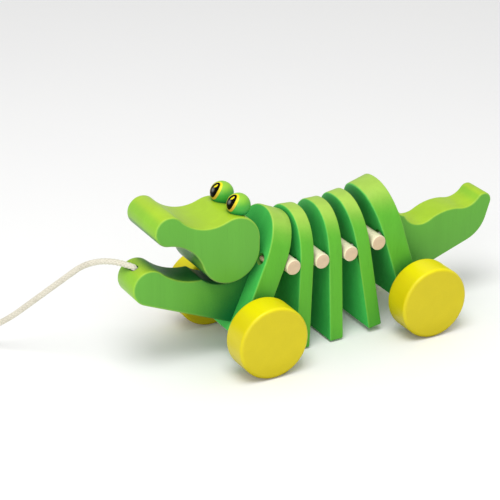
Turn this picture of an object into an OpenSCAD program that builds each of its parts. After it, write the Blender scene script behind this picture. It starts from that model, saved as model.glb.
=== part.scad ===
// Pull along crocodile: a wooden toy whose head, ribs and tail are strung in a row on two
// elastic cords, and which rolls on four wheels behind a pull cord.
// The toy looks towards -X, its right side is +Y, Z is up and the floor is Z = 0.
// The origin lies on the floor, in the middle plane, straight below the front axle.

/* [Wheels and axles] */
// Diameter of each wheel
wheel_d = 55; // [54:0.5:56]
// Width of each wheel's rim
wheel_w = 23.2; // [20:0.2:24]
// Rounding of a wheel's edges
wheel_round = 2.6; // [1:0.1:4]
// Distance between the left and the right wheels' middle planes
track = 96.8; // [96:0.2:104]
// Diameter of the two axle dowels
axle_d = 7.5; // [6:0.5:8]
// Distance from the front axle to the rear axle
wheelbase = 135.5; // [134.5:0.1:136]

/* [Ribs] */
// Thickness of the front and of the rear rib, which carry the axles
end_rib_t = 17.4; // [17:0.2:18]
// Thickness of the three middle ribs
rib_t = 11.2; // [10:0.2:11.6]
// Height of a rib's crown above its cord holes
crown_h = 35.3; // [32:0.1:36]
// Depth of an end rib's foot below its cord holes
end_foot = 58.5; // [57:0.5:60]
// Depth of a middle rib's foot below its cord holes
middle_foot = 66.5; // [60:0.5:66.5]
// Half of a rib's width where its crown begins
rib_half = 28; // [26:0.5:28.5]
// Outward flare of a rib's straight sides in degrees
flare = 2.4; // [0:0.2:2.6]
// Depth below the cord holes at which the crown begins
shoulder = 6; // [0:1:10]
// Fullness of the crown, where 2 is an ellipse
crown_power = 2.3; // [2:0.1:2.6]

/* [Spacers and elastic cords] */
// Diameter of the spacer dowels that lie across the toy between the ribs
spacer_d = 11.5; // [10.5:0.5:11.5]
// How far a spacer dowel stands out at each side of the ribs
spacer_out = 1.4; // [0.5:0.1:3]
// Distance from each spacer dowel's axis to the next one's, along the cords
spacer_pitch = 24.1; // [24:0.1:24.4]
// Gap between an end rib and the spacer dowel beside it
spacer_gap = 0.4; // [0.3:0.1:0.8]
// Diameter of the two elastic cords
elastic_d = 3.6; // [3:0.2:3.8]
// Distance of each elastic cord from the middle plane
elastic_y = 19.5; // [18:0.5:20]
// Diameter of the cord holes through the end ribs
cord_hole_d = 8.6; // [8.4:0.1:9]
// Diameter of the cord holes through the middle ribs
rib_hole_d = 6; // [5:0.1:8]

/* [Head and tail] */
// Thickness of the head
head_t = 46.8; // [44:0.2:48]
// Thickness of the lower jaw
jaw_t = 27.5; // [24:0.5:30]
// Thickness of the tail
tail_t = 24.8; // [22:0.2:28]
// Diameter of each eye ball
eye_d = 17.2; // [16:0.2:17.4]
// Distance of each eye from the middle plane
eye_y = 12.6; // [12:0.2:14]
// Diameter of the dowel on which the head nods
pivot_d = 8; // [7:0.5:8]

/* [Pull cord] */
// Diameter of the pull cord
pull_d = 4.6; // [4:0.2:5]
// Diameter of the bead at the cord's end
bead_d = 18; // [16:1:20]

/* [Hidden] */
$fn = 64;

green = [0.39, 0.68, 0.27];
yellow = [0.93, 0.86, 0.1];
bare_wood = [0.87, 0.78, 0.64];
cord_white = [0.92, 0.9, 0.85];

wheel_r = wheel_d / 2;
spacer_r = spacer_d / 2;
pull_r = pull_d / 2;
// Room all round a dowel that turns, and round a dowel that is glued in, and the thickness of the
// glue between two boards
turn_gap = 0.08;
glue_gap = 0.04;
glue_film = 0.02;
// How far a cutting shape reaches past the solid that it cuts
over = 1;

// Points in the middle plane are [x, z]. A lean turns +Z towards +X.
function along(lean) = [cos(lean), -sin(lean)];
function up(lean) = [sin(lean), cos(lean)];
function angle_of(p) = atan2(p[1], p[0]);

// Centre of a circle of radius r that touches two circles from outside. Side 1 is on the
// left of the way from the first to the second, and r = 0 gives the point where they cross
function touching(c1, r1, c2, r2, r, side) =
    let (d = norm(c2 - c1), ahead = (c2 - c1) / d, left = [-ahead[1], ahead[0]],
         a = r1 + r, b = r2 + r, p = (a * a - b * b + d * d) / (2 * d))
    c1 + p * ahead + side * sqrt(a * a - p * p) * left;

// Points along an arc from angle a1 to angle a2
arc_step = 5;
function arc(c, r, a1, a2) =
    let (n = ceil(abs(a2 - a1) / arc_step))
    [for (i = [0 : n]) let (a = a1 + (a2 - a1) * i / n) c + r * [cos(a), sin(a)]];

// Puts its children at a point of the middle plane with their Z axis leaning
module lean_at(point, lean) {
    translate([point[0], 0, point[1]]) rotate([0, lean, 0]) children();
}

// Cylinders along Y and along X, from one coordinate to another
module y_bar(point, d, y1, y2) {
    translate([point[0], y2, point[1]]) rotate([90, 0, 0]) cylinder(d = d, h = y2 - y1);
}
module x_bar(y, z, d, x1, x2) {
    translate([x1, y, z]) rotate([0, 90, 0]) cylinder(d = d, h = x2 - x1);
}

// An outline in the middle plane, made as thick as t
module board(t, outline) {
    translate([0, t / 2, 0]) rotate([90, 0, 0]) linear_extrude(t) polygon(outline);
}

// ---- where the ribs stand ----
front_lean = 24;
rear_lean = -16.3;
rib_lean = [3.6, -0.4, -8.6];
front_axle = [0, wheel_r];
rear_axle = [wheelbase, wheel_r];
// The front axle's depth behind the front rib's front face, and its height above the foot
front_axle_depth = 10.2;
front_axle_rise = 11.7;
// The front rib's cord holes are this much higher in its board than the rear rib's are
front_hole_lift = 1.1;
// Each end rib's place is the middle of its front face at the height of its cord holes
front_rib_at = front_axle - front_axle_depth * along(front_lean)
    + (end_foot + front_hole_lift - front_axle_rise) * up(front_lean);

// The cords climb this much through the front rib, then run from spacer to spacer
spacer_lift = 1.7;
cord_lean = [1, -1.5, -9];
reach = spacer_gap + spacer_r;
spacer_1 = front_rib_at + (end_rib_t + reach) * along(front_lean) + spacer_lift * up(front_lean);
spacer_2 = spacer_1 + spacer_pitch * along(cord_lean[0]);
spacer_3 = spacer_2 + spacer_pitch * along(cord_lean[1]);
spacer_4 = spacer_3 + spacer_pitch * along(cord_lean[2]);
spacers = [spacer_1, spacer_2, spacer_3, spacer_4];
spacer_lean = [9, -0.2, -5.2, -12.6];
function middle_rib_at(i) = (spacers[i] + spacers[i + 1]) / 2 - rib_t / 2 * along(rib_lean[i]);
rear_rib_at = spacer_4 + reach * along(rear_lean);

// ---- ribs ----
crown_step = 6;
function crown(a) = [rib_half * sign(cos(a)) * pow(abs(cos(a)), 2 / crown_power),
                     (crown_h + shoulder) * pow(sin(a), 2 / crown_power) - shoulder];

// A rib stands in its own frame, with the cord holes at height 0 and its foot below
module rib_board(t, foot) {
    foot_half = rib_half + (foot - shoulder) * tan(flare);
    rotate([90, 0, 90]) linear_extrude(t)
        polygon(concat([[-foot_half, -foot], [foot_half, -foot]],
                       [for (a = [0 : crown_step : 180]) crown(a)]));
}

module cord_holes(t, d) {
    for (side = [-1, 1]) x_bar(side * elastic_y, 0, d, -over, t + over);
}

module axle_hole(axle) {
    y_bar(axle, axle_d + 2 * turn_gap, -track / 2, track / 2);
}

// Dowels that glue the jaw and the tail to their ribs, given by their heights
glue_dowel_d = 8;
jaw_dowel_z = [-27, -38];
tail_dowel_z = [-20, -38];
jaw_dowel_in = 9;
jaw_dowel_out = 12;
tail_dowel_in = 9;
tail_dowel_out = 14;

// The neck tongue reaches from the front rib to the head's pivot
cheek = [-15.2, 86.7];
cheek_r = 23.1;
tongue_t = 12;
tongue_half = 9;
tenon_d = 12;
tenon_l = 10;
pivot_reach = (front_rib_at - cheek) * along(front_lean);
pivot_z = (cheek - front_rib_at) * up(front_lean);

module jaw_dowel_set(gap) {
    lean_at(front_rib_at, front_lean) for (z = jaw_dowel_z)
        x_bar(0, z, glue_dowel_d + 2 * gap, -jaw_dowel_out - gap, jaw_dowel_in + gap);
}

module tail_dowel_set(gap) {
    near = end_rib_t - tail_dowel_in - gap;
    far = end_rib_t + tail_dowel_out + gap;
    lean_at(rear_rib_at, rear_lean) for (z = tail_dowel_z)
        x_bar(0, z, glue_dowel_d + 2 * gap, near, far);
}

module front_rib() {
    color(green) difference() {
        lean_at(front_rib_at, front_lean) difference() {
            translate([0, 0, -front_hole_lift]) rib_board(end_rib_t, end_foot);
            cord_holes(end_rib_t, cord_hole_d);
            x_bar(0, pivot_z, tenon_d + 2 * glue_gap, -over, tenon_l + glue_gap);
        }
        axle_hole(front_axle);
        jaw_dowel_set(glue_gap);
    }
}

module rear_rib() {
    color(green) difference() {
        lean_at(rear_rib_at, rear_lean) difference() {
            rib_board(end_rib_t, end_foot);
            cord_holes(end_rib_t, cord_hole_d);
        }
        axle_hole(rear_axle);
        tail_dowel_set(glue_gap);
    }
}

module middle_rib(i) {
    color(green) lean_at(middle_rib_at(i), rib_lean[i]) difference() {
        rib_board(rib_t, middle_foot);
        cord_holes(rib_t, rib_hole_d);
    }
}

module neck_tongue() {
    color(bare_wood) lean_at(front_rib_at, front_lean) difference() {
        union() {
            translate([-pivot_reach, -tongue_t / 2, pivot_z - tongue_half])
                cube([pivot_reach, tongue_t, 2 * tongue_half]);
            y_bar([-pivot_reach, pivot_z], 2 * tongue_half, -tongue_t / 2, tongue_t / 2);
            x_bar(0, pivot_z, tenon_d, -over, tenon_l);
        }
        y_bar([-pivot_reach, pivot_z], pivot_d + 2 * turn_gap, -tongue_t, tongue_t);
    }
}

// ---- spacer dowels and elastic cords ----
spacer_hole_d = 6;
module spacer_dowel(i) {
    half = rib_half + spacer_out;
    color(bare_wood) difference() {
        y_bar(spacers[i], spacer_d, -half, half);
        lean_at(spacers[i], spacer_lean[i]) for (side = [-1, 1])
            x_bar(side * elastic_y, 0, spacer_hole_d, -spacer_d, spacer_d);
    }
}

// Two cords side by side between two points of the middle plane. They stop this far short
// of a spacer dowel's axis, where the toy bends
cord_break = 0.6;
module cord_pair(p1, p2, break_1, break_2) {
    lean = -angle_of(p2 - p1);
    color(cord_white) lean_at(p1, lean) for (side = [-1, 1])
        x_bar(side * elastic_y, 0, elastic_d, break_1, norm(p2 - p1) - break_2);
}

// A small peg lies across each cord hole's mouth and holds the cord's end
peg_d = 4;
peg_depth = 3.4;
peg_half = 3.7;
peg_play = 0.1;
peg_room = peg_d / 2 + peg_play;
module cord_pegs(at, lean, depth) {
    color(bare_wood) lean_at(at, lean) for (side = [-1, 1])
        y_bar([depth, 0], peg_d, side * elastic_y - peg_half, side * elastic_y + peg_half);
}
rear_peg = end_rib_t - peg_depth;

// ---- head ----
snout = [-63, 112.8];
snout_r = 11;
brow = [-10.8, 94.2];
brow_r = 18.8;
dip_r = 33;
throat_r = 32;
dip = touching(snout, snout_r, brow, brow_r, dip_r, 1);
throat = touching(snout, snout_r, cheek, cheek_r, throat_r, -1);
// Direction of the flat back, which touches both the cheek and the brow
back_angle = angle_of(brow - cheek) - acos((cheek_r - brow_r) / norm(brow - cheek));

head_outline = concat(
    arc(snout, snout_r, angle_of(dip - snout), angle_of(throat - snout) + 360),
    arc(throat, throat_r, angle_of(snout - throat), angle_of(cheek - throat)),
    arc(cheek, cheek_r, angle_of(throat - cheek) + 360, back_angle + 360),
    arc(brow, brow_r, back_angle, angle_of(dip - brow)),
    arc(dip, dip_r, angle_of(brow - dip), angle_of(snout - dip)));

// How far the head nods down and up from rest, with a little to spare
nod_down = 25;
nod_up = 9;
slot_gap = 0.5;
pin_skin = 5;
slot_half = tongue_half + slot_gap;

// The slot that the tongue needs in the head while the head nods
module tongue_slot() {
    top_lean = front_lean - nod_up;
    low_lean = front_lean + nod_down;
    board(tongue_t + 2 * slot_gap, concat(
        arc(cheek, slot_half, 90 - top_lean, 270 - low_lean),
        [cheek - slot_half * up(low_lean) + 2 * cheek_r * along(low_lean),
         cheek + slot_half * up(top_lean) + 2 * cheek_r * along(top_lean)]));
}

eye_dowel_d = 4;
eye_dowel_in = 8;
eye_dowel_out = 10;
eye = [-3.8, 117.8];
eye_lean = 90 - angle_of(eye - brow);
module eye_dowel_set(gap) {
    for (side = [-1, 1]) lean_at(brow, eye_lean)
        translate([0, side * eye_y, brow_r - eye_dowel_in - gap])
            cylinder(d = eye_dowel_d + 2 * gap, h = eye_dowel_in + eye_dowel_out + 2 * gap);
}

module head() {
    color(green) difference() {
        board(head_t, head_outline);
        tongue_slot();
        y_bar(cheek, pivot_d + 2 * glue_gap, pin_skin - head_t / 2, head_t);
        eye_dowel_set(glue_gap);
    }
}

module head_pivot_pin() {
    color(bare_wood) y_bar(cheek, pivot_d, pin_skin + glue_gap - head_t / 2, head_t / 2);
}

// A ball whose foot is hollowed to sit on the brow
module eye_ball(side) {
    color(green) difference() {
        translate([eye[0], side * eye_y, eye[1]]) sphere(d = eye_d);
        y_bar(brow, 2 * (brow_r + glue_gap), -head_t, head_t);
        eye_dowel_set(glue_gap);
    }
}

// ---- lower jaw ----
jaw_gap = 4.2;
jaw_tip = [-74.2, 68.6];
jaw_tip_r = 13.2;
jaw_slope = 23;
saddle_r = 45;
saddle_z = 66.4;
saddle_rise = saddle_z + saddle_r - jaw_tip[1];
saddle = jaw_tip + [sqrt(pow(saddle_r + jaw_tip_r, 2) - pow(saddle_rise, 2)), saddle_rise];
recess_r = cheek_r + jaw_gap;
crest = touching(saddle, saddle_r, cheek, recess_r, 0, -1);
// The jaw's board ends this far below the cheek's middle, behind the cheek
horn_drop = 11.8;
horn_run = sqrt(pow(recess_r, 2) - pow(horn_drop, 2));
horn_in = cheek + horn_run * along(front_lean) - horn_drop * up(front_lean);
horn_out = cheek + (pivot_reach - glue_film) * along(front_lean) - horn_drop * up(front_lean);
jaw_foot = jaw_tip - jaw_tip_r * up(jaw_slope);
jaw_depth = (front_rib_at - jaw_foot) * along(front_lean) - glue_film;
jaw_run = jaw_depth / (along(jaw_slope) * along(front_lean));
jaw_heel = jaw_foot + jaw_run * along(jaw_slope);

jaw_outline = concat(
    arc(jaw_tip, jaw_tip_r, angle_of(saddle - jaw_tip), 270 - jaw_slope),
    [jaw_heel, horn_out],
    arc(cheek, recess_r, angle_of(horn_in - cheek), angle_of(crest - cheek)),
    arc(saddle, saddle_r, angle_of(crest - saddle), angle_of(jaw_tip - saddle)));

// The cord goes down through the jaw's tip to a knot in a wider hole below
cord_exit_angle = 116;
cord_exit = jaw_tip + jaw_tip_r * [cos(cord_exit_angle), sin(cord_exit_angle)];
hole_lean = -20;
hole_depth = 40;
pull_play = 0.8;
pull_hole_d = pull_d + pull_play;
knot_d = 9;
knot_hole_d = 10.6;
knot_depth = 23;

module lower_jaw() {
    color(green) difference() {
        board(jaw_t, jaw_outline);
        jaw_dowel_set(glue_gap);
        lean_at(cord_exit, hole_lean) translate([0, 0, -hole_depth]) {
            cylinder(d = pull_hole_d, h = 2 * hole_depth);
            cylinder(d = knot_hole_d, h = hole_depth - knot_depth + knot_d / 2);
        }
    }
}

module cord_anchor() {
    color(cord_white) lean_at(cord_exit, hole_lean) {
        translate([0, 0, -knot_depth]) sphere(d = knot_d);
        translate([0, 0, -knot_depth]) cylinder(d = pull_d, h = knot_depth);
    }
}

// ---- tail ----
tail_tip = [209.3, 77.3];
tail_tip_r = 6.6;
hump = [179.3, 38];
hump_r = 39;
tail_dip_r = 16;
tail_dip = touching(hump, hump_r, tail_tip, tail_tip_r, tail_dip_r, 1);
root_dip_r = 17;
root_dip_angle = 118.5;
root_dip = hump + (hump_r + root_dip_r) * [cos(root_dip_angle), sin(root_dip_angle)];
belly = [187.6, 72];
belly_r = 25.6;
belly_slope = 19.1;
// Direction of the straight stretch that touches both the belly and the tip
tip_angle = angle_of(tail_tip - belly) - acos((belly_r - tail_tip_r) / norm(tail_tip - belly));
root_end_angle = 205;
root_top_z = 86;
belly_foot = belly + belly_r * [sin(belly_slope), -cos(belly_slope)];
// Points of the rear rib's rear face, at a given height and below a given point
root_face = rear_rib_at + (end_rib_t + glue_film) * along(rear_lean);
function on_root_face(z) = root_face + (z - root_face[1]) / cos(rear_lean) * up(rear_lean);
belly_line = [cos(belly_slope), sin(belly_slope)];
belly_run = (belly_foot - root_face) * along(rear_lean) / (belly_line * along(rear_lean));
root_heel = belly_foot - belly_run * belly_line;

tail_outline = concat(
    arc(belly, belly_r, belly_slope - 90, tip_angle),
    arc(tail_tip, tail_tip_r, tip_angle, angle_of(tail_dip - tail_tip)),
    arc(tail_dip, tail_dip_r, angle_of(tail_tip - tail_dip), angle_of(hump - tail_dip)),
    arc(hump, hump_r, angle_of(tail_dip - hump), root_dip_angle),
    arc(root_dip, root_dip_r, root_dip_angle - 180, root_end_angle - 360),
    [on_root_face(root_top_z), root_heel]);

module tail() {
    color(green) difference() {
        board(tail_t, tail_outline);
        tail_dowel_set(glue_gap);
    }
}

// ---- wheels and axles ----
hub_d = 18;
hub_end = 31;
bore_skin = 6;
axle_half = track / 2 + wheel_w / 2 - bore_skin;

// One half of a wheel's section, with its outer face at height 0
module wheel_section() {
    inner = wheel_w - wheel_round;
    square([wheel_r - wheel_round, wheel_w]);
    translate([0, wheel_round]) square([wheel_r, inner - wheel_round]);
    for (h = [wheel_round, inner]) translate([wheel_r - wheel_round, h]) circle(wheel_round);
    square([hub_d / 2, track / 2 + wheel_w / 2 - hub_end]);
}

module wheel(axle, side) {
    color(yellow) translate([axle[0], side * (track + wheel_w) / 2, axle[1]]) rotate([side * 90, 0, 0])
        difference() {
            rotate_extrude() wheel_section();
            translate([0, 0, bore_skin - glue_gap]) cylinder(d = axle_d + 2 * glue_gap, h = track);
        }
}

module axle_dowel(axle) {
    color(bare_wood) y_bar(axle, axle_d, -axle_half, axle_half);
}

// ---- pull cord ----
// The cord is a row of [roll, radius, turn] pieces. Each turns left in its own plane after a
// roll about the way ahead, and a radius of 0 makes it straight with turn as its length.
// It leaves the jaw upwards, falls to the floor on the toy's right, and lies there in a bend
cord_start = 4.2;
cord_yaw = 45;
exit_rise = 15;
fall = 40.5;
bend_r = 45;
land_r = 130;
fall_top = cord_exit[1] + cord_start * sin(exit_rise) - bend_r * (cos(exit_rise) - cos(fall));
fall_l = (fall_top - pull_r - land_r * (1 - cos(fall))) / sin(fall);
loop_r = 30;
loop_turn = 150;
lift_r = 16;
lift_turn = acos(1 - (bead_d / 2 - pull_r) / (2 * lift_r));
straight_l = 12;
bead_run = bead_d + 4;
// Gap between the bead and the knot that keeps it on the cord
bead_gap = 0.2;
cord_end_l = 9;
cord_path = [
    [0, bend_r, exit_rise + fall],
    [0, 0, fall_l],
    [180, land_r, fall],
    [-90, loop_r, loop_turn],
    [0, 0, straight_l],
    [90, lift_r, lift_turn],
    [180, lift_r, lift_turn],
    [0, 0, bead_run]];

module cord_piece(r, turn) {
    $fn = 32;
    if (r == 0) rotate([0, 90, 0]) cylinder(d = pull_d, h = turn);
    else translate([0, r, 0]) rotate([0, 0, -90]) rotate_extrude(angle = turn)
        translate([r, 0]) circle(pull_r);
}

module ahead(r, turn) {
    if (r == 0) translate([turn, 0, 0]) children();
    else translate([0, r, 0]) rotate([0, 0, turn]) translate([0, -r, 0]) children();
}

// A hair-thin collar covers each join between two pieces of the cord
collar = 0.05;
module cord_from(i) {
    rotate([cord_path[i][0], 0, 0]) {
        cord_piece(cord_path[i][1], cord_path[i][2]);
        if (i < len(cord_path) - 1) ahead(cord_path[i][1], cord_path[i][2]) {
            x_bar(0, 0, pull_d + collar, -collar, collar);
            cord_from(i + 1);
        }
    }
}

// Puts its children at the end of the cord's path
module at_cord_end(i = 0) {
    rotate([cord_path[i][0], 0, 0]) ahead(cord_path[i][1], cord_path[i][2])
        if (i < len(cord_path) - 1) at_cord_end(i + 1) children();
        else children();
}

// The cord's own frame has X ahead along the cord, and Y on the inside of its first bend
module cord_frame() {
    translate([cord_exit[0], 0, cord_exit[1]]) rotate([0, 0, -cord_yaw]) rotate([0, 180 + exit_rise, 0])
        rotate([90, 0, 0]) translate([cord_start, 0, 0]) children();
}

module pull_cord() {
    color(cord_white) cord_frame() {
        cord_from(0);
        at_cord_end() {
            sphere(d = knot_d);
            rotate([0, 90, 0]) cylinder(d = pull_d, h = cord_end_l);
        }
    }
}

// A ball turned about the cord, with a hole through it
module pull_bead() {
    bead_x = -knot_d / 2 - bead_d / 2 - bead_gap;
    color(yellow) cord_frame() at_cord_end() translate([bead_x, 0, 0]) rotate([0, 90, 0])
        rotate_extrude() intersection() {
            circle(d = bead_d);
            translate([pull_hole_d / 2, -bead_d]) square(2 * bead_d);
        }
}

front_rib();
lower_jaw();
color(bare_wood) jaw_dowel_set(0);  // jaw_dowels
neck_tongue();
cord_pegs(front_rib_at, front_lean, peg_depth);  // front_cord_pegs
cord_pair(front_rib_at + (peg_depth + peg_room) * along(front_lean), spacers[0], 0, cord_break);  // front_elastic
cord_anchor();
head();
eye_ball(-1);  // left_eye
eye_ball(1);  // right_eye
color(bare_wood) eye_dowel_set(0);  // eye_dowels
head_pivot_pin();
spacer_dowel(0);  // spacer_dowel_1
spacer_dowel(1);  // spacer_dowel_2
spacer_dowel(2);  // spacer_dowel_3
spacer_dowel(3);  // spacer_dowel_4
middle_rib(0);  // middle_rib_1
middle_rib(1);  // middle_rib_2
middle_rib(2);  // middle_rib_3
cord_pair(spacers[0], spacers[1], cord_break, cord_break);  // elastic_1
cord_pair(spacers[1], spacers[2], cord_break, cord_break);  // elastic_2
cord_pair(spacers[2], spacers[3], cord_break, cord_break);  // elastic_3
rear_rib();
tail();
color(bare_wood) tail_dowel_set(0);  // tail_dowels
cord_pegs(rear_rib_at, rear_lean, rear_peg);  // rear_cord_pegs
cord_pair(spacers[3], rear_rib_at + (rear_peg - peg_room) * along(rear_lean), cord_break, 0);  // rear_elastic
axle_dowel(front_axle);
wheel(front_axle, -1);  // front_left_wheel
wheel(front_axle, 1);  // front_right_wheel
axle_dowel(rear_axle);
wheel(rear_axle, -1);  // rear_left_wheel
wheel(rear_axle, 1);  // rear_right_wheel
pull_cord();
pull_bead();
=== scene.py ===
import math

import bmesh
import bpy
import numpy as np
from mathutils import Matrix, Vector


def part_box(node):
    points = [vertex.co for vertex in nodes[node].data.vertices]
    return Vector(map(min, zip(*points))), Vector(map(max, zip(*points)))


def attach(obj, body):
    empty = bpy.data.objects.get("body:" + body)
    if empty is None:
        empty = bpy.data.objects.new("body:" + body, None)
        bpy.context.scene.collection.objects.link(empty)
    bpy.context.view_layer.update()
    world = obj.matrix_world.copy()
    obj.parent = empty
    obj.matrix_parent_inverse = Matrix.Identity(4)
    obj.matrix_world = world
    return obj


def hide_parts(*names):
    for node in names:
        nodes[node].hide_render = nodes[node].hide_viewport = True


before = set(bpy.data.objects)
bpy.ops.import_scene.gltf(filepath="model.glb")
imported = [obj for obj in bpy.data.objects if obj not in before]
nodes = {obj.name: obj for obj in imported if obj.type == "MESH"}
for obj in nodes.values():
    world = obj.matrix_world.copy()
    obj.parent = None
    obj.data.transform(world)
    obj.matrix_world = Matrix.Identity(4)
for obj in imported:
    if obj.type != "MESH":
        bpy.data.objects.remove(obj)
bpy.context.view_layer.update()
scene = bpy.context.scene
scene.view_settings.view_transform = "Standard"

# Lengths below are in millimetres unless a comment says otherwise, and MM turns them into metres
MM = 0.001
WHITE = (1, 1, 1, 1)


# ---------------------------------------------------------------- material helpers
class Net:
    """A small wrapper that makes shader nodes short to write."""

    def __init__(self, name):
        self.mat = bpy.data.materials.new(name)
        self.mat.use_nodes = True
        self.tree = self.mat.node_tree
        self.tree.nodes.clear()

    def add(self, kind, **props):
        n = self.tree.nodes.new(kind)
        for k, v in props.items():
            setattr(n, k, v)
        return n

    def put(self, socket, value):
        if hasattr(value, "links"):
            self.tree.links.new(value, socket)
        elif value is not None:
            socket.default_value = value

    def math(self, op, a, b=None):
        n = self.add("ShaderNodeMath", operation=op)
        self.put(n.inputs[0], a)
        self.put(n.inputs[1], b)
        return n.outputs[0]

    def mix(self, fac, a, b, blend="MIX"):
        n = self.add("ShaderNodeMix", data_type="RGBA", blend_type=blend)
        self.put(n.inputs["Factor"], fac)
        self.put(n.inputs["A"], a)
        self.put(n.inputs["B"], b)
        return n.outputs["Result"]

    def ramp(self, fac, lo, hi, a=0.0, b=1.0):
        """A smooth step from a to b while fac goes from lo to hi."""
        n = self.add("ShaderNodeMapRange", interpolation_type="SMOOTHSTEP")
        self.put(n.inputs[0], fac)
        for i, v in enumerate((lo, hi, a, b)):
            self.put(n.inputs[i + 1], v)
        return n.outputs[0]

    def coords(self, scale, rotation=(0, 0, 0)):
        tc = self.add("ShaderNodeTexCoord")
        m = self.add("ShaderNodeMapping")
        m.inputs["Rotation"].default_value = rotation
        m.inputs["Scale"].default_value = scale
        self.tree.links.new(tc.outputs["Object"], m.inputs["Vector"])
        return m.outputs[0]

    def noise(self, vector, scale, detail=4.0, rough=0.55, distortion=0.0):
        n = self.add("ShaderNodeTexNoise")
        self.put(n.inputs["Vector"], vector)
        self.put(n.inputs["Scale"], scale)
        self.put(n.inputs["Detail"], detail)
        self.put(n.inputs["Roughness"], rough)
        self.put(n.inputs["Distortion"], distortion)
        return n.outputs["Fac"]

    def bump(self, height, strength, distance, normal=None):
        n = self.add("ShaderNodeBump")
        self.put(n.inputs["Height"], height)
        self.put(n.inputs["Strength"], strength)
        self.put(n.inputs["Distance"], distance)
        if normal is not None:
            self.put(n.inputs["Normal"], normal)
        return n.outputs[0]

    def occlusion(self, distance):
        """1 on open surfaces and less in corners and gaps, within a distance in metres."""
        n = self.add("ShaderNodeAmbientOcclusion", samples=8)
        n.inputs["Distance"].default_value = distance
        return n.outputs["AO"]

    def surface(self, **inputs):
        s = self.add("ShaderNodeBsdfPrincipled")
        for k, v in inputs.items():
            self.put(s.inputs[k.replace("_", " ")], v)
        out = self.add("ShaderNodeOutputMaterial")
        self.tree.links.new(s.outputs[0], out.inputs[0])
        return self.mat


def rgb(r, g, b):
    """Linear colour, with alpha, from 0-255 sRGB."""
    def linear(c):
        return (c / 255 / 12.92) if c <= 10.31 else ((c / 255 + 0.055) / 1.055) ** 2.4

    return (linear(r), linear(g), linear(b), 1.0)


def darker(colour, share):
    return tuple(c * share for c in colour[:3]) + (1,)


def normal_parts(net):
    """The surface normal's X, Y and Z."""
    geo = net.add("ShaderNodeNewGeometry")
    sep = net.add("ShaderNodeSeparateXYZ")
    net.tree.links.new(geo.outputs["Normal"], sep.inputs[0])
    return sep.outputs[0], sep.outputs[1], sep.outputs[2]


def wood_grain(net, lean):
    """Broad streaks, fine pores and soft patches. The grain runs along Z turned by lean."""
    turn = (0, -math.radians(lean), 0)
    broad = net.noise(net.coords((70, 70, 6), turn), 1.0, 5, 0.6, 0.8)
    pores = net.noise(net.coords((1500, 1500, 60), turn), 1.0, 2, 0.6)
    patches = net.noise(net.coords((14, 14, 9)), 1.0, 3, 0.5)
    return broad, pores, patches


def painted_wood(name, side, top, front, edge, shade, lean=0.0, rough=0.42, coat=0.06, spec=0.22,
                 grain_depth=1.0, rub_and_highlight_amount=0.22, gap_shade_amount=0.65, gap_shade_to=0.8, reach=0.04,
                 under=None):
    """Lacquer over wood, with light and shade painted into its colour: painted lighter and warmer where
    it faces up, brighter where it faces front (-X), and painted shade deeper in the gaps, which are
    found within reach (in metres). The colour under is a painted reflection of the pale floor on a face
    that hangs over it, with painted shade on faces that point down."""
    net = Net(name)
    nx, _, nz = normal_parts(net)
    broad, pores, patches = wood_grain(net, lean)
    # painted light: the top colour on faces that point up and the front colour on faces toward -X are
    # lit copies of the side colour
    colour = net.mix(net.ramp(nz, 0.25, 0.95), side, top)
    colour = net.mix(net.ramp(net.math("MULTIPLY", nx, -1.0), 0.35, 0.95), colour, front)
    # painted shade on faces that point down, and on the faces pointing straight down a painted
    # reflection of the pale floor
    if under:
        colour = net.mix(net.ramp(nz, -0.5, -0.1, 0.75, 0.0), colour, shade)
        colour = net.mix(net.ramp(nz, -0.85, -0.55, 0.6, 0.0), colour, under)
    grain = net.ramp(broad, 0.35, 0.68, 1 - 0.035 * grain_depth, 1 + 0.025 * grain_depth)
    grain = net.math("MULTIPLY", grain,
                     net.ramp(patches, 0.3, 0.7, 1 - 0.015 * grain_depth, 1 + 0.015 * grain_depth))
    grain = net.math("MULTIPLY", grain, net.ramp(pores, 0.56, 0.72, 1.0, 1 - 0.07 * grain_depth))
    comb = net.add("ShaderNodeCombineColor")
    for i in range(3):
        net.put(comb.inputs[i], grain)
    colour = net.mix(1.0, colour, comb.outputs[0], "MULTIPLY")
    # rounded edges get the edge colour: partly rubbed paint, partly a painted highlight where the
    # rounding catches the light
    attr = net.add("ShaderNodeAttribute", attribute_name="edge")
    rub_and_highlight = net.math("MULTIPLY", net.ramp(attr.outputs["Fac"], 0.1, 1.0),
                    net.ramp(net.noise(net.coords((220, 220, 220)), 1.0, 3), 0.3, 0.65, 0.55, 1.0))
    colour = net.mix(net.math("MULTIPLY", rub_and_highlight, rub_and_highlight_amount), colour, edge)
    # painted shade: near other surfaces (ambient occlusion) the colour goes toward the shade colour,
    # and the sheen fades
    gap_shade = net.ramp(net.occlusion(reach), gap_shade_to - 0.7, gap_shade_to, 1.0, 0.0)
    colour = net.mix(net.math("MULTIPLY", gap_shade, gap_shade_amount), colour, shade)
    bump = net.bump(pores, 0.12, 0.0002)
    bump = net.bump(broad, 0.10, 0.0006, bump)
    bump = net.bump(net.noise(net.coords((260, 260, 260)), 1.0, 2), 0.05, 0.0006, bump)
    roughness = net.ramp(patches, 0.3, 0.7, rough - 0.04, rough + 0.06)
    return net.surface(Base_Color=colour, Roughness=roughness, Normal=bump,
                       Coat_Weight=net.ramp(gap_shade, 0, 0.7, coat, 0.0),
                       Coat_Roughness=0.25, Specular_IOR_Level=net.ramp(gap_shade, 0, 0.7, spec, 0.02))


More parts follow.
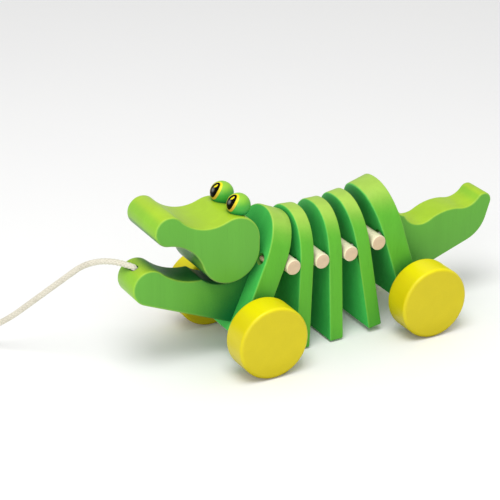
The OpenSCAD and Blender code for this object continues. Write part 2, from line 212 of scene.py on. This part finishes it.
# Lacquer colours by the way a face points, with painted light (lighter and warmer tops with a painted
# sheen on the ribs' tops, brighter fronts), the colour of rubbed edges with a painted highlight, and
# painted shade in the gaps
GREEN = dict(side=rgb(97, 168, 58), top=rgb(166, 203, 44), front=rgb(142, 198, 50),
             edge=rgb(196, 226, 92), shade=rgb(0, 98, 54))
RIM = dict(side=rgb(94, 174, 52), top=rgb(166, 204, 84), front=rgb(78, 200, 88),
           edge=rgb(190, 226, 110), shade=rgb(0, 116, 56), coat=0.03, spec=0.1, grain_depth=1.5,
           rub_and_highlight_amount=0.13, gap_shade_amount=0.55)
YELLOW = dict(side=rgb(206, 190, 20), top=rgb(238, 226, 2), front=rgb(214, 198, 14),
              edge=rgb(250, 240, 60), shade=rgb(120, 108, 16), grain_depth=0.6, rub_and_highlight_amount=0.1)

MATS = {
    # the head's under colour is a painted reflection of the pale floor
    "head": painted_wood("green_paint_head", lean=65, under=rgb(214, 228, 172), **GREEN),
    # the jaw's wider and stronger gap shade is painted shade from the head, the wheel and the front rib
    "jaw": painted_wood("green_paint_jaw", lean=-66, gap_shade_amount=0.95, gap_shade_to=0.93, reach=0.06,
                        **GREEN),
    "tail": painted_wood("green_paint_tail", lean=70, **GREEN),
    "front_rib": painted_wood("green_paint_front_rib", lean=24, **RIM),
    "rib_1": painted_wood("green_paint_rib_1", lean=3.6, **RIM),
    "rib_2": painted_wood("green_paint_rib_2", lean=-0.4, **RIM),
    "rib_3": painted_wood("green_paint_rib_3", lean=-8.6, **RIM),
    "rear_rib": painted_wood("green_paint_rear_rib", lean=-16.3, **RIM),
    "yellow": painted_wood("yellow_paint", rough=0.38, **YELLOW),
}


def bare_wood(name, side, end):
    """Clear-coated pale dowel along Y: long grain on its side, rings and specks on its ends."""
    net = Net(name)
    _, ny, _ = normal_parts(net)
    long_grain = net.noise(net.coords((420, 12, 420)), 1.0, 4, 0.6, 0.4)
    rings = net.add("ShaderNodeTexWave", wave_type="RINGS", rings_direction="Y")
    net.put(rings.inputs["Vector"], net.coords((1, 1, 1), (0.25, 0.3, 0.1)))
    rings.inputs["Scale"].default_value = 190
    rings.inputs["Distortion"].default_value = 3
    rings.inputs["Detail"].default_value = 3
    specks = net.noise(net.coords((900, 900, 900)), 1.0, 3, 0.7)
    is_end = net.ramp(net.math("ABSOLUTE", ny), 0.6, 0.95)
    side_c = net.mix(net.ramp(long_grain, 0.35, 0.7), side, darker(side, 0.86))
    end_c = net.mix(net.ramp(rings.outputs["Fac"], 0.1, 0.9, 0.0, 0.35), end, darker(end, 0.8))
    end_c = net.mix(net.ramp(specks, 0.5, 0.75, 0, 0.4), end_c, darker(end, 0.72))
    colour = net.mix(is_end, side_c, end_c)
    # painted shade: darker brown near other parts, within 8 mm
    colour = net.mix(net.ramp(net.occlusion(0.008), 0.2, 0.8, 0.55, 0.0), colour, rgb(120, 95, 62))
    bump = net.bump(long_grain, 0.15, 0.0003)
    bump = net.bump(specks, 0.1, 0.0002, bump)
    return net.surface(Base_Color=colour, Roughness=0.5, Normal=bump, Coat_Weight=0.1,
                       Coat_Roughness=0.4)


MATS["dowel"] = bare_wood("dowel_wood", rgb(252, 240, 205), rgb(214, 188, 156))
MATS["peg"] = bare_wood("peg_wood", rgb(226, 200, 158), rgb(200, 168, 124))
# bare wood inside the holes: its dark brown is partly the wood's own colour and partly painted shade in
# the hole
MATS["bore"] = bare_wood("shaded_bore_wood", rgb(120, 66, 38), rgb(120, 66, 38))


def cord_material(name, base, dark_fibre_and_shade):
    """Matt spun cotton with darker fibres, and painted shade between its threads."""
    net = Net(name)
    fibres = net.noise(net.coords((1400, 1400, 1400)), 1.0, 4, 0.7)
    tone = net.noise(net.coords((90, 90, 90)), 1.0, 2)
    colour = net.mix(net.ramp(fibres, 0.35, 0.75, 0, 0.5), base, dark_fibre_and_shade)
    colour = net.mix(net.ramp(tone, 0.4, 0.7, 0, 0.2), colour, dark_fibre_and_shade)
    # painted shade: darker in the crevices between threads
    colour = net.mix(net.ramp(net.occlusion(0.0012), 0.3, 0.95, 0.55, 0.0), colour, dark_fibre_and_shade)
    bump = net.bump(fibres, 0.5, 0.00025)
    return net.surface(Base_Color=colour, Roughness=0.9, Normal=bump, Sheen_Weight=0.4,
                       Sheen_Roughness=0.5)


MATS["cord"] = cord_material("cotton_cord", rgb(226, 221, 204), rgb(158, 150, 128))
MATS["elastic"] = cord_material("elastic_cord", rgb(228, 226, 216), rgb(170, 166, 150))


# ---------------------------------------------------------------- mesh helpers
def new_piece(name, mesh, body, mat, cad_slot, *cad_nodes, matrix=None):
    """An object that rides on a body and stands in for the given CAD nodes."""
    mesh.materials.clear()
    mesh.materials.append(mat)
    o = bpy.data.objects.new(name, mesh)
    scene.collection.objects.link(o)
    if matrix is not None:
        o.matrix_world = matrix
    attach(o, body)
    if cad_nodes:
        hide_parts(*cad_nodes)
    return o


# Edges that turn by more than SHARP degrees are rounded, in ROUND_STEPS steps. An edge loop smaller
# than HOLE_SIZE rims a hole. Points within WELD are one, and faces within FLAT degrees are joined
SHARP = 28
ROUND_STEPS = 5
HOLE_SIZE = 17.0
WELD = 0.002
FLAT = 0.6
# An edge this near the seat plane is glued to a rib, and keeps this share of the rounding
SEAT_NEAR = 0.06
SEAT_SHARE = 0.12
# Material slots of a board while it is made
PAINT, ROUND, BORE = 0, 1, 2


def edge_loops(edges):
    """Groups of edges that hang together."""
    seen = set()
    for e in edges:
        if e in seen:
            continue
        group, todo = [], [e]
        seen.add(e)
        while todo:
            c = todo.pop()
            group.append(c)
            for n in (n for v in c.verts for n in v.link_edges):
                if n in edges and n not in seen:
                    seen.add(n)
                    todo.append(n)
        yield group


def softened(node, name, body, mat, width, hole_width=0.5, seat=None):
    """A board with the CAD node's shape and sanded round edges. Edges round a small hole, and edges
    in the seat plane (a point and a normal), are rounded less."""
    bm = bmesh.new()
    bm.from_mesh(nodes[node].data)
    bmesh.ops.remove_doubles(bm, verts=bm.verts, dist=WELD * MM)
    bmesh.ops.dissolve_limit(bm, angle_limit=math.radians(FLAT), verts=bm.verts, edges=bm.edges,
                             use_dissolve_boundaries=False)
    layers = bm.edges.layers.float
    layer = layers.get("bevel_weight_edge") or layers.new("bevel_weight_edge")
    keen = {e for e in bm.edges
            if len(e.link_faces) == 2 and e.calc_face_angle(0) > math.radians(SHARP)}
    hole_points = set()
    for group in edge_loops(keen):
        pts = np.array([v.co[:] for c in group for v in c.verts])
        is_hole = float(np.linalg.norm(pts.max(0) - pts.min(0))) / MM < HOLE_SIZE
        if is_hole:
            hole_points.update(v for c in group for v in c.verts)
        for c in group:
            c[layer] = hole_width / width if is_hole else 1.0
            if seat and all(abs((v.co - seat[0] * MM).dot(seat[1])) < SEAT_NEAR * MM for v in c.verts):
                c[layer] = SEAT_SHARE
    for f in bm.faces:
        f.smooth = True
        f.material_index = BORE if all(v in hole_points for v in f.verts) else PAINT
    mesh = bpy.data.meshes.new(name)
    bm.to_mesh(mesh)
    bm.free()
    mesh.materials.clear()
    for m in (mat, mat, MATS["bore"]):
        mesh.materials.append(m)
    tmp = bpy.data.objects.new(name + "_tmp", mesh)
    scene.collection.objects.link(tmp)
    b = tmp.modifiers.new("round", "BEVEL")
    b.width = width * MM
    b.segments = ROUND_STEPS
    b.limit_method = "WEIGHT"
    b.use_clamp_overlap = False
    b.material = ROUND
    b.harden_normals = True
    dg = bpy.context.evaluated_depsgraph_get()
    done = bpy.data.meshes.new_from_object(tmp.evaluated_get(dg))
    bpy.data.objects.remove(tmp)
    done.name = name
    # 1 at the points inside a rounded edge, and 0 where a flat face or a bore begins
    value = np.ones(len(done.vertices))
    for p in done.polygons:
        if p.material_index != ROUND:
            for v in p.vertices:
                value[v] = 0
    attr = done.attributes.new("edge", "FLOAT", "POINT")
    attr.data.foreach_set("value", value.astype(np.float32))
    walls = [p.index for p in done.polygons if p.material_index == BORE]
    o = new_piece(name, done, body, mat, "green_paint", node)
    done.materials.append(MATS["bore"])
    for p in done.polygons:
        p.material_index = 0
    for i in walls:
        done.polygons[i].material_index = 1
    return o


def lathe(profile, segments=128):
    """Mesh turned about Z from (radius, height, edge) rows. Radius 0 at an end closes it."""
    bm = bmesh.new()
    rings = []
    edge = bm.verts.layers.float.new("edge")
    for r, h, w in profile:
        if r < 1e-9:
            v = bm.verts.new((0, 0, h * MM))
            v[edge] = w
            rings.append([v])
            continue
        ring = []
        for i in range(segments):
            a = 2 * math.pi * i / segments
            v = bm.verts.new((r * MM * math.cos(a), r * MM * math.sin(a), h * MM))
            v[edge] = w
            ring.append(v)
        rings.append(ring)
    for a, b in zip(rings, rings[1:]):
        n = max(len(a), len(b))
        for i in range(n):
            j = (i + 1) % n
            if len(a) == 1:
                bm.faces.new((a[0], b[j], b[i]))
            elif len(b) == 1:
                bm.faces.new((a[i], a[j], b[0]))
            else:
                bm.faces.new((a[i], a[j], b[j], b[i]))
    bmesh.ops.recalc_face_normals(bm, faces=bm.faces)
    mesh = bpy.data.meshes.new("lathe")
    bm.to_mesh(mesh)
    bm.free()
    for p in mesh.polygons:
        p.use_smooth = True
    return mesh


def rounded(r0, r, h, side, n=7):
    """Quarter-round rows at the rim of a disc: side -1 is the bottom rim, 1 the top."""
    rows = []
    for i in range(n + 1):
        a = math.pi / 2 * i / n
        w = math.sin(math.pi * i / n)
        if side < 0:
            rows.append((r - r0 + r0 * math.sin(a), h + r0 - r0 * math.cos(a), w))
        else:
            rows.append((r - r0 + r0 * math.cos(a), h - r0 + r0 * math.sin(a), w))
    return rows


def along_y(x, y, z, side=1):
    """Local +Z points along side * Y from the given point."""
    m = Matrix.Translation((x * MM, y * MM, z * MM))
    return m @ Matrix.Rotation(-side * math.pi / 2, 4, "X")


# ---------------------------------------------------------------- green boards
def lean_dir(lean):
    return Vector((math.cos(math.radians(lean)), 0, -math.sin(math.radians(lean))))


# The end ribs' leans in degrees, and the places of their faces that the jaw and the tail sit on
FRONT_LEAN, REAR_LEAN = 24, -16.3
REAR_RIB_T = 17.4
FRONT_FACE = Vector((10.1645, 0, 75.4075))
REAR_FACE = Vector((110.264, 0, 73.0884)) + REAR_RIB_T * lean_dir(REAR_LEAN)
softened("head", "head_board", "head", MATS["head"], width=1.3)
softened("lower_jaw", "lower_jaw_board", "front", MATS["jaw"], width=1.3, hole_width=0.4,
         seat=(FRONT_FACE, lean_dir(FRONT_LEAN)))
softened("tail", "tail_board", "rear", MATS["tail"], width=1.3,
         seat=(REAR_FACE, lean_dir(REAR_LEAN)))
softened("front_rib", "front_rib_board", "front", MATS["front_rib"], width=1.2, hole_width=0.25)
softened("rear_rib", "rear_rib_board", "rear", MATS["rear_rib"], width=1.2, hole_width=0.25)
for i in (1, 2, 3):
    softened(f"middle_rib_{i}", f"middle_rib_board_{i}", f"rib_{i}", MATS[f"rib_{i}"], width=1.1,
             hole_width=0.25)


# ---------------------------------------------------------------- wheels
# Widths and radii of a wheel's rim and hub, and the rounding of their edges
WHEEL_W, WHEEL_EDGE = 23.2, 2.6
HUB_R, HUB_EDGE = 9.0, 0.8


def wheel(node, body):
    """A wheel and its hub, turned in one piece from the hub's inner end at height 0."""
    lo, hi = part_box(node)
    side = 1 if hi.y > 0 else -1
    r = (hi.x - lo.x) / 2 / MM
    x, z = (hi.x + lo.x) / 2 / MM, (hi.z + lo.z) / 2 / MM
    outer = (hi.y if side > 0 else -lo.y) / MM
    inner = (-hi.y if side < 0 else lo.y) / MM
    length = outer - inner
    face = length - WHEEL_W
    edge, hub, soft = WHEEL_EDGE, HUB_R, HUB_EDGE
    rows = [(0, 0, 0), (hub - soft, 0, 0)] + rounded(soft, hub, 0, -1, 4) + [(hub, face - soft, 0)]
    rows += [(hub + 0.3, face - 0.2, 0), (hub + 1, face, 0), (r - edge - 0.02, face, 0)]
    rows += rounded(edge, r, face, -1) + [(r, face + edge + 1, 0), (r, length - edge - 1, 0)]
    rows += rounded(edge, r, length, 1)
    rows += [(r - edge - 0.6, length, 0), (r * 0.5, length, 0), (0, length, 0)]
    new_piece(node + "_turned", lathe(rows, 144), body, MATS["yellow"], "yellow_paint", node,
              matrix=along_y(x, side * inner, z, side))


for end in ("front", "rear"):
    for hand in ("left", "right"):
        wheel(f"{end}_{hand}_wheel", f"{end}_wheels")


# ---------------------------------------------------------------- spacer dowels
DOWEL_EDGE = 0.9
for i in (1, 2, 3, 4):
    lo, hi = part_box(f"spacer_dowel_{i}")
    r, half = (hi.x - lo.x) / 2 / MM, hi.y / MM
    rows = [(0, -half, 0)] + rounded(DOWEL_EDGE, r, -half, -1, 5) + [(r, 0, 0)]
    rows += rounded(DOWEL_EDGE, r, half, 1, 5) + [(0, half, 0)]
    new_piece(f"spacer_{i}_turned", lathe(rows, 64), f"spacer_{i}", MATS["dowel"], "bare_wood",
              f"spacer_dowel_{i}", matrix=along_y((hi.x + lo.x) / 2 / MM, 0, (hi.z + lo.z) / 2 / MM))


# ---------------------------------------------------------------- eyes
def eye_material():
    """Green ball with a painted eye round local +X: ring, black oval pupil and a highlight.
    Places and sizes on the ball are in shares of its radius."""
    net = Net("painted_eye")
    tc = net.add("ShaderNodeTexCoord")
    sep = net.add("ShaderNodeSeparateXYZ")
    vec = net.add("ShaderNodeVectorMath", operation="NORMALIZE")
    net.tree.links.new(tc.outputs["Object"], vec.inputs[0])
    net.tree.links.new(vec.outputs[0], sep.inputs[0])
    x, y, z = sep.outputs
    brush = net.noise(net.coords((500, 500, 500)), 1.0, 2)
    wobble = net.math("MULTIPLY", net.math("SUBTRACT", brush, 0.5), 0.03)

    def oval(cy, cz, ry, rz, soft, tilt=8.0):
        """1 inside an oval on the ball, with its long axis leaning sideways by tilt."""
        ca, sa = math.cos(math.radians(tilt)), math.sin(math.radians(tilt))
        oy, oz = net.math("SUBTRACT", y, cy), net.math("SUBTRACT", z, cz)
        dy = net.math("SUBTRACT", net.math("MULTIPLY", oy, ca), net.math("MULTIPLY", oz, sa))
        dz = net.math("ADD", net.math("MULTIPLY", oy, sa), net.math("MULTIPLY", oz, ca))
        dy, dz = net.math("DIVIDE", dy, ry), net.math("DIVIDE", dz, rz)
        squares = net.math("ADD", net.math("MULTIPLY", dy, dy), net.math("MULTIPLY", dz, dz))
        d = net.math("SQRT", squares)
        inside = net.ramp(net.math("ADD", d, wobble), 1 - soft, 1 + soft, 1.0, 0.0)
        return net.math("MULTIPLY", inside, net.math("GREATER_THAN", x, 0.0))

    _, _, nz = normal_parts(net)
    broad, pores, _ = wood_grain(net, 0)
    # painted light and shade: the ball is lighter where it faces up and a darker teal where it faces
    # down
    ball = net.mix(net.ramp(nz, 0.0, 0.95), rgb(70, 166, 60), rgb(150, 204, 60))
    ball = net.mix(net.ramp(nz, -0.7, 0.0, 0.9, 0.0), ball, rgb(0, 136, 72))
    ball = net.mix(net.ramp(broad, 0.35, 0.7, 0, 0.2), ball, rgb(60, 150, 44))
    ring = oval(0.04, -0.01, 0.60, 0.80, 0.025)
    # the ring goes from orange-brown at the bottom to bright yellow at the top
    ring_c = net.mix(net.ramp(z, -0.5, 0.4), rgb(208, 164, 56), rgb(230, 222, 16))
    pupil = oval(0.0, 0.0, 0.45, 0.69, 0.03)
    # painted reflection: a soft grey spot in the glossy black pupil
    pupil_reflection = oval(-0.05, -0.06, 0.14, 0.16, 0.9)
    pupil_c = net.mix(net.math("MULTIPLY", pupil_reflection, 0.5), rgb(8, 7, 6), rgb(170, 168, 164))
    glint = net.math("MAXIMUM", oval(0.09, 0.36, 0.085, 0.15, 0.08), oval(-0.01, 0.24, 0.06, 0.10, 0.1))
    colour = net.mix(ring, ball, ring_c)
    colour = net.mix(pupil, colour, pupil_c)
    colour = net.mix(glint, colour, rgb(246, 226, 30))
    bump = net.bump(net.math("ADD", ring, pupil), 0.25, 0.0002)
    bump = net.bump(pores, 0.1, 0.0002, bump)
    rough = net.ramp(pupil, 0, 1, 0.4, 0.25)
    return net.surface(Base_Color=colour, Roughness=rough, Normal=bump, Coat_Roughness=0.2,
                       Coat_Weight=net.ramp(pupil, 0, 1, 0.06, 0.0),
                       Specular_IOR_Level=net.ramp(pupil, 0, 1, 0.2, 0.05))


MATS["eye"] = eye_material()
# The way both eyes look, and how much longer and lower than a ball they are
LOOK = Vector((-0.847, -0.134, 0.513)).normalized()
STRETCH = Matrix.Diagonal((1.04, 1.0, 0.98, 1.0))
for hand in ("left", "right"):
    lo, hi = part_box(f"{hand}_eye")
    r = (hi.x - lo.x) / 2
    centre = Vector(((lo.x + hi.x) / 2, (lo.y + hi.y) / 2, hi.z - r))
    bm = bmesh.new()
    bmesh.ops.create_uvsphere(bm, u_segments=96, v_segments=64, radius=r)
    mesh = bpy.data.meshes.new(f"{hand}_eye_ball")
    bm.to_mesh(mesh)
    bm.free()
    for p in mesh.polygons:
        p.use_smooth = True
    side = Vector((0, 0, 1)).cross(LOOK).normalized()
    top = LOOK.cross(side)
    m = Matrix.Translation(centre) @ STRETCH @ Matrix((LOOK, side, top)).transposed().to_4x4()
    new_piece(f"{hand}_eye_ball", mesh, "head", MATS["eye"], "green_paint", f"{hand}_eye", matrix=m)


# ---------------------------------------------------------------- cord
# The cord leaves the round tip of the jaw at EXIT_ANGLE above +X, through a leaning hole
JAW_TIP, JAW_TIP_R, EXIT_ANGLE = Vector((-74.2, 0, 68.6)), 13.2, 116
HOLE_LEAN = -20
CORD_R, BEAD_R = 2.3, 9.0
# A knot is tied tighter, and the one in the jaw is this big
KNOT_CORD_R, ANCHOR_R = 2.1, 4.2
# The cord comes out rising by RISE, goes straight for START, bends over until it falls by FALL, and
# lands in a wide bend. On the floor it runs round a loop and up into the bead. Angles are in degrees
CORD_YAW = -45
START, RISE, FALL = 4.2, 15.0, 40.5
BEND_R, LAND_R, LIFT_R = 45.0, 130.0, 16
LOOP_R, LOOP_TURN, FLOOR_RUN = 30, 150, 12
BEAD_RUN, CORD_END = 22, 9


def cos(degrees):
    return math.cos(math.radians(degrees))


def sin(degrees):
    return math.sin(math.radians(degrees))


def cord_centre_line():
    """Points along the pull cord's middle, from inside the jaw to the cord's end."""
    exit_point = JAW_TIP + JAW_TIP_R * Vector((cos(EXIT_ANGLE), 0, sin(EXIT_ANGLE)))
    yaw = Matrix.Rotation(math.radians(CORD_YAW), 3, "Z")
    d = yaw @ Vector((-cos(RISE), 0, sin(RISE)))
    left = yaw @ Vector((-sin(RISE), 0, -cos(RISE)))
    pos = exit_point + START * d
    top = pos.z - BEND_R * (cos(RISE) - cos(FALL))
    drop = (top - CORD_R - LAND_R * (1 - cos(FALL))) / sin(FALL)
    lift = math.degrees(math.acos(1 - (BEAD_R - CORD_R) / (2 * LIFT_R)))
    # pieces of (roll about the way ahead, radius, turn to the left), straight where the radius is 0
    path = [(0, BEND_R, RISE + FALL), (0, 0, drop), (180, LAND_R, FALL),
            (-90, LOOP_R, LOOP_TURN), (0, 0, FLOOR_RUN),
            (90, LIFT_R, lift), (180, LIFT_R, lift), (0, 0, BEAD_RUN), (0, 0, CORD_END)]
    # the first points lie inside the jaw's hole
    hole = Vector((sin(HOLE_LEAN), 0, cos(HOLE_LEAN)))
    pts = [exit_point + hole * h for h in (-2.4, -1.2, 0)]
    pts += [exit_point + hole * 0.7 + d * 1.2, pos]
    for roll, r, turn in path:
        left = (Matrix.Rotation(math.radians(roll), 3, d) @ left).normalized()
        if r == 0:
            n = max(2, int(turn))
            pts += [pos + d * turn * (i + 1) / n for i in range(n)]
            pos = pos + d * turn
        else:
            axis = d.cross(left)
            centre = pos + left * r
            n = max(4, int(r * math.radians(turn)))
            arm = pos - centre
            for i in range(n):
                pts.append(centre + Matrix.Rotation(math.radians(turn) * (i + 1) / n, 3, axis) @ arm)
            pos = pts[-1]
            rot = Matrix.Rotation(math.radians(turn), 3, axis)
            d = (rot @ d).normalized()
            left = (rot @ left).normalized()
    return pts


def smooth_line(pts, step):
    """Evenly spaced points along a smoothed line."""
    p = np.array([q[:] for q in pts])
    seg = np.linalg.norm(np.diff(p, axis=0), axis=1)
    s = np.concatenate([[0], np.cumsum(seg)])
    t = np.arange(0, s[-1], step)
    out = np.stack([np.interp(t, s, p[:, k]) for k in range(3)], 1)
    for _ in range(6):
        out[1:-1] = (out[:-2] + 2 * out[1:-1] + out[2:]) / 4
    return out


# Threads each way in a braid, their half thickness, and the share of it to each side and outwards
STRANDS, THREAD, FLATNESS = 4, 0.86, (1.25, 0.7)
THREAD_SIDES = 7
# How far a thread moves out and in where it crosses over and under another
CROSSING = 0.22


def braid(name, line, r, body, cad_nodes, pitch=12.0):
    """A round braid: threads wind both ways round the line, and cross over and under each other."""
    wide, high = FLATNESS
    sides = THREAD_SIDES
    line = np.asarray(line)
    n = len(line)
    tan = np.gradient(line, axis=0)
    tan /= np.linalg.norm(tan, axis=1)[:, None]
    nrm = np.zeros_like(line)
    ref = np.array([0, 1.0, 0])
    nrm[0] = ref - tan[0] * ref.dot(tan[0])
    nrm[0] /= np.linalg.norm(nrm[0])
    for i in range(1, n):
        v = nrm[i - 1] - tan[i] * nrm[i - 1].dot(tan[i])
        nrm[i] = v / np.linalg.norm(v)
    bin_ = np.cross(tan, nrm)
    dist = np.concatenate([[0], np.cumsum(np.linalg.norm(np.diff(line, axis=0), axis=1))])
    count = 0
    all_v, all_f = [], []
    for hand in (1, -1):
        for k in range(STRANDS):
            phase = 2 * math.pi * k / STRANDS
            ang = hand * 2 * math.pi * dist / pitch + phase
            over = hand * CROSSING * np.cos(STRANDS * 2 * math.pi * dist / pitch)
            rad = (r - THREAD * 0.9) + over
            path = line + rad[:, None] * (np.cos(ang)[:, None] * nrm + np.sin(ang)[:, None] * bin_)
            t = np.gradient(path, axis=0)
            t /= np.linalg.norm(t, axis=1)[:, None]
            out = path - line
            out -= t * np.sum(out * t, axis=1)[:, None]
            out /= np.linalg.norm(out, axis=1)[:, None]
            b = np.cross(t, out)
            ring = []
            for s in range(sides):
                a = 2 * math.pi * s / sides
                ring.append(path + THREAD * (high * math.cos(a) * out + wide * math.sin(a) * b))
            ring = np.stack(ring, 1).reshape(-1, 3)
            all_v.append(ring)
            for i in range(n - 1):
                for s in range(sides):
                    s2 = (s + 1) % sides
                    all_f.append((count + i * sides + s, count + i * sides + s2,
                                  count + (i + 1) * sides + s2, count + (i + 1) * sides + s))
            all_f.append(tuple(count + s for s in reversed(range(sides))))
            all_f.append(tuple(count + (n - 1) * sides + s for s in range(sides)))
            count += n * sides
    mesh = bpy.data.meshes.new(name)
    mesh.from_pydata((np.concatenate(all_v) * MM).tolist(), [], all_f)
    for p in mesh.polygons:
        p.use_smooth = True
    mesh.update()
    new_piece(name, mesh, body, MATS["cord"], "cotton_cord", *cad_nodes)


LINE = smooth_line(cord_centre_line(), 0.7)
braid("pull_cord_braid", LINE, CORD_R, "pull", ["pull_cord"])


def knot(name, centre, d, size, body, cad_nodes):
    """An overhand knot: a thick closed loop of cord wound into a ball."""
    d = d.normalized()
    u = d.orthogonal().normalized()
    v = d.cross(u)
    pts = []
    for i in range(121):
        t = 2 * math.pi * i / 120
        a = math.sin(t) + 2 * math.sin(2 * t)
        b = math.cos(t) - 2 * math.cos(2 * t)
        c = -math.sin(3 * t)
        pts.append(centre + size * (a / 3 * u + b / 3 * v + c * 0.55 * d))
    braid(name, smooth_line(pts, 0.5), KNOT_CORD_R, body, cad_nodes, pitch=9.0)


END = Vector(LINE[-1])
END_DIR = (END - Vector(LINE[-10])).normalized()
knot("pull_cord_knot", END - END_DIR * CORD_END, END_DIR, 2.6, "pull", [])
lo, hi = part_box("cord_anchor")
knot("cord_anchor_knot", Vector((hi.x / MM - ANCHOR_R, 0, lo.z / MM + ANCHOR_R)),
     Vector((-0.34, 0, 0.94)), 2.4, "front", ["cord_anchor"])

# The bead on the cord, with a rounded mouth at each end of its hole
lo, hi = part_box("pull_bead")
bead_c, bead_r = (lo + hi) / 2, (hi.z - lo.z) / 2 / MM
hole_r, mouth = 2.4, 0.8
h_end = math.sqrt(bead_r**2 - (hole_r + mouth) ** 2)
rows = [(hole_r, -h_end + 1.2, 0), (hole_r, -h_end + 0.5, 0.3)]
rows += [(hole_r + mouth * 0.4, -h_end + 0.02, 1)]
for i in range(41):
    z = -h_end + 2 * h_end * i / 40
    rows.append((math.sqrt(bead_r**2 - z * z), z, 0))
rows += [(hole_r + mouth * 0.4, h_end - 0.02, 1), (hole_r, h_end - 0.5, 0.3)]
rows += [(hole_r, h_end - 1.2, 0)]
q = Vector((0, 0, 1)).rotation_difference(END_DIR).to_matrix().to_4x4()
q.translation = bead_c
new_piece("pull_bead_turned", lathe(rows, 96), "pull", MATS["yellow"], "yellow_paint", "pull_bead",
          matrix=q)


# ---------------------------------------------------------------- carried-over CAD nodes
for name, o in nodes.items():
    if o.hide_render:
        continue
    if "elastic" in name:
        mat = MATS["elastic"]
    elif "peg" in name:
        mat = MATS["peg"]
    else:
        mat = MATS["dowel"]
    o.data.materials.clear()
    o.data.materials.append(mat)

# ---------------------------------------------------------------- stage, light, camera
floor_net = Net("pale_floor")
floor_tone = floor_net.noise(floor_net.coords((2, 2, 2)), 1.0, 2)
floor_mat = floor_net.surface(
    Base_Color=floor_net.mix(floor_tone, rgb(252, 252, 251), rgb(249, 249, 249)), Roughness=0.75)
# a floor of 14 metres, half a millimetre below the wheels
bpy.ops.mesh.primitive_plane_add(size=14, location=(0, 0, -0.5 * MM))
floor = bpy.context.object
floor.name = "floor"
floor.data.materials.append(floor_mat)

world = bpy.data.worlds.new("studio")
scene.world = world
world.use_nodes = True
world.node_tree.nodes["Background"].inputs[0].default_value = WHITE
world.node_tree.nodes["Background"].inputs[1].default_value = 0.6


def area(name, loc, target, size, power):
    """A round soft light. Places and the size are in metres, and the power is in watts."""
    light = bpy.data.lights.new(name, "AREA")
    light.shape = "DISK"
    light.size = size
    light.energy = power
    o = bpy.data.objects.new(name, light)
    scene.collection.objects.link(o)
    o.location = loc
    o.rotation_euler = (Vector(target) - Vector(loc)).to_track_quat("-Z", "Y").to_euler()


area("key", (-0.35, -0.5, 1.6), (0.04, 0, 0.05), 1.0, 15)
area("front_fill", (-1.2, -1.6, 0.9), (0.0, 0, 0.08), 1.4, 12)

# The camera's direction from the toy in radians, the point it looks at and its distance
AZ, EL = -0.498640567, 0.428129266
TARGET = Vector((-14.05, -48.4, 99.22)) * MM
DISTANCE = 1278.5 * MM
BACK = Vector((math.sin(AZ) * math.cos(EL), -math.cos(AZ) * math.cos(EL), math.sin(EL)))
cam = bpy.data.cameras.new("camera")
cam.lens = 133.05
cam.sensor_width = 36
cam.clip_end = 50
cam_o = bpy.data.objects.new("camera", cam)
scene.collection.objects.link(cam_o)
cam_o.location = TARGET + BACK * DISTANCE
cam_o.rotation_euler = BACK.to_track_quat("Z", "Y").to_euler()
scene.camera = cam_o
